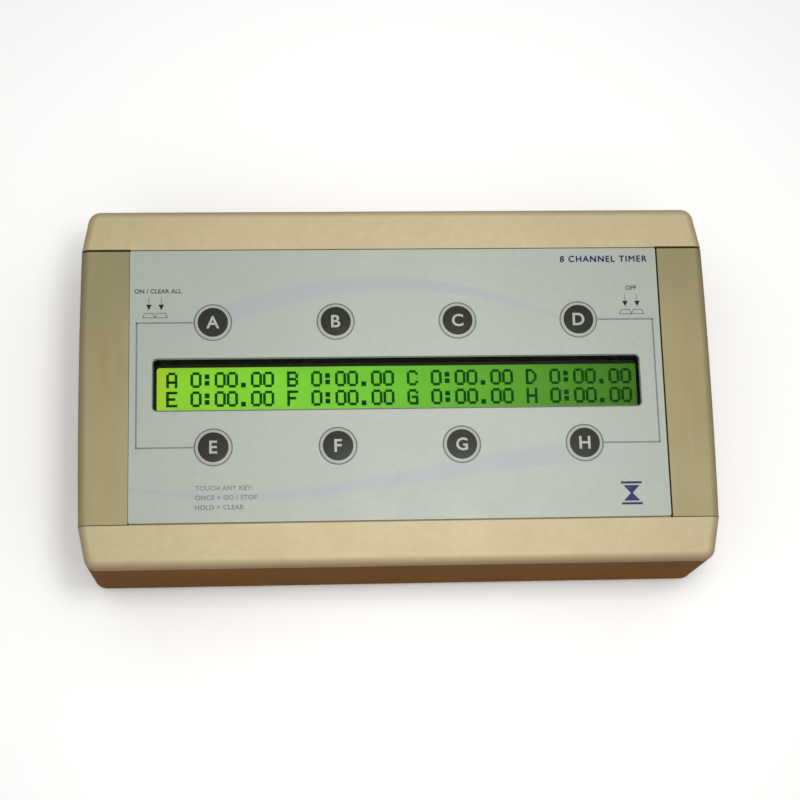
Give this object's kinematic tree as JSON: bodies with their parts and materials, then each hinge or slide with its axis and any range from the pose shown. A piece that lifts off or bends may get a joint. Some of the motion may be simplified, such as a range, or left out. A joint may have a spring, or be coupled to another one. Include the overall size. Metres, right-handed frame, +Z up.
{
  "type": "lab timer",
  "caption": "Flat desk laboratory timer: two-line green character display, rows of round lettered push keys on a printed foil, side cover strips, sliding battery door.",
  "frame": {"origin": "centre of the footprint, on the bench surface that the feet stand on", "axes": "+X along the case to the user's right, +Y to the rear, +Z up out of the front panel"},
  "size_m": [0.1954, 0.1128, 0.042],
  "materials": {
    "cream_plastic": "fine spark texture, satin",
    "brown_plastic": "fine spark texture, satin",
    "olive_plastic": "fine spark texture, matte",
    "printed_foil": "reverse-printed polyester, fine matte texture",
    "clear_sheet": "clear acrylic, polished",
    "black_plastic": "matte",
    "black_steel": "black coated steel",
    "liquid_crystal": "back-lit yellow-green display glass with a satin polariser",
    "light_guide": "milky",
    "circuit_board": "green solder mask",
    "steel": "zinc plated",
    "grey_key": "satin key with a dark printed disc",
    "ribbon_grey": "ribbed",
    "rubber": "matte",
    "cell_jacket": "printed shrink sleeve over a metal can"
  },
  "bodies": {
    "case": {"buzzer": "black_plastic", "case_screw_1": "steel", "case_screw_2": "steel", "case_screw_3": "steel", "case_screw_4": "steel", "cell_1": "cell_jacket", "cell_2": "cell_jacket", "cell_3": "cell_jacket", "cell_4": "cell_jacket", "contact_front": "steel", "contact_rear": "steel", "cover_strip_left": "olive_plastic", "cover_strip_right": "olive_plastic", "crystal": "steel", "display_surround": "black_plastic", "display_window": "clear_sheet", "foot_1": "rubber", "foot_2": "rubber", "foot_3": "rubber", "foot_4": "rubber", "front_foil": "printed_foil", "key_board_front": "circuit_board", "key_board_rear": "circuit_board", "key_board_screw_1": "steel", "key_board_screw_2": "steel", "key_board_screw_3": "steel", "key_board_screw_4": "steel", "lcd_backlight": "light_guide", "lcd_bezel": "black_steel", "lcd_board": "circuit_board", "lcd_glass": "liquid_crystal", "lcd_screw_1": "steel", "lcd_screw_2": "steel", "lcd_screw_3": "steel", "lcd_screw_4": "steel", "lower_shell": "brown_plastic", "main_board": "circuit_board", "main_board_screw_1": "steel", "main_board_screw_2": "steel", "microcontroller": "black_plastic", "ribbon_cable": "ribbon_grey", "switch_a": "black_plastic", "switch_b": "black_plastic", "switch_c": "black_plastic", "switch_d": "black_plastic", "switch_e": "black_plastic", "switch_f": "black_plastic", "switch_g": "black_plastic", "switch_h": "black_plastic", "upper_shell": "cream_plastic"},
    "button_a": {"key_a": "grey_key"},
    "button_b": {"key_b": "grey_key"},
    "button_c": {"key_c": "grey_key"},
    "button_d": {"key_d": "grey_key"},
    "button_e": {"key_e": "grey_key"},
    "button_f": {"key_f": "grey_key"},
    "button_g": {"key_g": "grey_key"},
    "button_h": {"key_h": "grey_key"},
    "door": {"battery_door": "brown_plastic"}
  },
  "joints": [
    {"name": "press_a", "type": "slide", "parent": "case", "child": "button_a", "axis": [0, 0, -1], "range_m": [0, 0.0005], "stiffness_N_per_m": 3200},
    {"name": "press_b", "type": "slide", "parent": "case", "child": "button_b", "axis": [0, 0, -1], "range_m": [0, 0.0005], "stiffness_N_per_m": 3200},
    {"name": "press_c", "type": "slide", "parent": "case", "child": "button_c", "axis": [0, 0, -1], "range_m": [0, 0.0005], "stiffness_N_per_m": 3200},
    {"name": "press_d", "type": "slide", "parent": "case", "child": "button_d", "axis": [0, 0, -1], "range_m": [0, 0.0005], "stiffness_N_per_m": 3200},
    {"name": "press_e", "type": "slide", "parent": "case", "child": "button_e", "axis": [0, 0, -1], "range_m": [0, 0.0005], "stiffness_N_per_m": 3200},
    {"name": "press_f", "type": "slide", "parent": "case", "child": "button_f", "axis": [0, 0, -1], "range_m": [0, 0.0005], "stiffness_N_per_m": 3200},
    {"name": "press_g", "type": "slide", "parent": "case", "child": "button_g", "axis": [0, 0, -1], "range_m": [0, 0.0005], "stiffness_N_per_m": 3200},
    {"name": "press_h", "type": "slide", "parent": "case", "child": "button_h", "axis": [0, 0, -1], "range_m": [0, 0.0005], "stiffness_N_per_m": 3200},
    {"name": "door_slide", "type": "slide", "parent": "case", "child": "door", "axis": [0, 1, 0], "range_m": [0, 0.056]}
  ]
}
